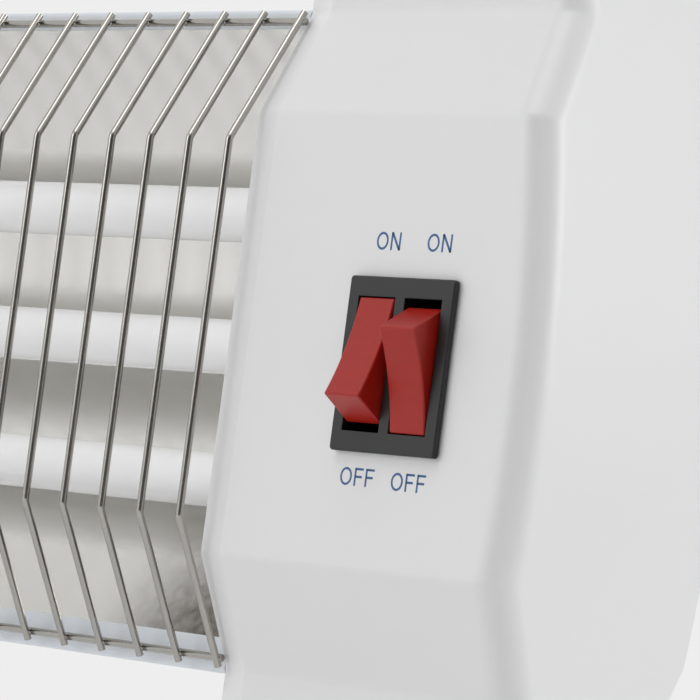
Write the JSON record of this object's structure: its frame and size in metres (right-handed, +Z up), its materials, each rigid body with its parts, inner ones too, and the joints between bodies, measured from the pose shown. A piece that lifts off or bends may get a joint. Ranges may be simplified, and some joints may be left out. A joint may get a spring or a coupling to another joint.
{
  "type": "quartz heater",
  "caption": "Free-standing quartz heater: quartz tubes before a reflector behind a wire grille, between white end housings on flared feet, with a twin rocker switch on one end.",
  "frame": {"origin": "on the floor under the middle of the heater, the bottom centre of its bounding box", "axes": "+X along the heater towards the end with the switch, -Y out of the front grille, +Z up"},
  "size_m": [0.4014, 0.12, 0.25],
  "materials": {
    "white_plastic": "white moulded polypropylene, satin gloss",
    "black_nylon": "black moulded nylon, satin",
    "red_plastic": "red moulded polycarbonate, satin gloss",
    "plunger_plastic": "white acetal",
    "white_paint": "white powder coat on folded steel sheet",
    "polished_aluminium": "polished aluminium sheet",
    "plated_steel": "zinc-plated steel",
    "chromed_wire": "chromed steel wire",
    "milky_quartz": "milky quartz glass, glossy",
    "resistance_wire": "resistance wire, wound",
    "ceramic": "unglazed steatite",
    "brass": "stamped brass",
    "grey_rubber": "dark grey moulded rubber",
    "lead_sleeve": "braided glass-fibre sleeve on wire"
  },
  "bodies": {
    "heater": {"back_shell": "white_paint", "bus_bar": "plated_steel", "carry_handle": "white_plastic", "cord_inlet_bush": "grey_rubber", "front_grille": "chromed_wire", "handle_screw_left": "plated_steel", "handle_screw_right": "plated_steel", "heating_coil_bottom": "resistance_wire", "heating_coil_middle": "resistance_wire", "heating_coil_top": "resistance_wire", "lead_block_to_bus_bar": "lead_sleeve", "lead_block_to_cutout": "lead_sleeve", "lead_block_to_tip_switch": "lead_sleeve", "lead_cutout_to_switch": "lead_sleeve", "lead_tube_bottom": "lead_sleeve", "lead_tube_middle": "lead_sleeve", "lead_tube_top": "lead_sleeve", "left_cap_bottom": "ceramic", "left_cap_middle": "ceramic", "left_cap_top": "ceramic", "left_cover_screw_lower": "plated_steel", "left_cover_screw_upper": "plated_steel", "left_end_housing": "white_plastic", "left_end_plate": "plated_steel", "left_foot": "white_plastic", "left_foot_screw_inner": "plated_steel", "left_foot_screw_outer": "plated_steel", "left_front_pad": "grey_rubber", "left_lower_spade": "brass", "left_plate_screw": "plated_steel", "left_rear_cover": "white_plastic", "left_rear_pad": "grey_rubber", "left_upper_spade": "brass", "quartz_tube_bottom": "milky_quartz", "quartz_tube_middle": "milky_quartz", "quartz_tube_top": "milky_quartz", "reflector": "polished_aluminium", "right_cap_bottom": "ceramic", "right_cap_middle": "ceramic", "right_cap_top": "ceramic", "right_cover_screw_lower": "plated_steel", "right_cover_screw_upper": "plated_steel", "right_end_housing": "white_plastic", "right_end_plate": "plated_steel", "right_foot": "white_plastic", "right_foot_screw_inner": "plated_steel", "right_foot_screw_outer": "plated_steel", "right_front_pad": "grey_rubber", "right_lower_spade": "brass", "right_plate_screw": "plated_steel", "right_rear_cover": "white_plastic", "right_rear_pad": "grey_rubber", "right_upper_spade": "brass", "switch_frame": "black_nylon", "terminal_block": "ceramic", "thermal_cutout": "black_nylon", "tip_switch_body": "black_nylon"},
    "left_rocker": {"left_rocker": "red_plastic"},
    "right_rocker": {"right_rocker": "red_plastic"},
    "tip_switch_plunger": {"tip_switch_plunger": "plunger_plastic"}
  },
  "joints": [
    {"name": "left_rocker_swing", "type": "hinge", "parent": "heater", "child": "left_rocker", "pos_m": [0.16345, -0.024, 0.1506], "axis": [1, 0, 0], "range_deg": [0, 36.4]},
    {"name": "right_rocker_swing", "type": "hinge", "parent": "heater", "child": "right_rocker", "pos_m": [0.17485, -0.024, 0.1506], "axis": [-1, 0, 0], "range_deg": [0, 36.4]},
    {"name": "tip_switch_plunger_slide", "type": "slide", "parent": "heater", "child": "tip_switch_plunger", "axis": [0, 0, -1], "range_m": [0, 0.004], "stiffness_N_per_m": 60, "springref_m": 0.005}
  ]
}
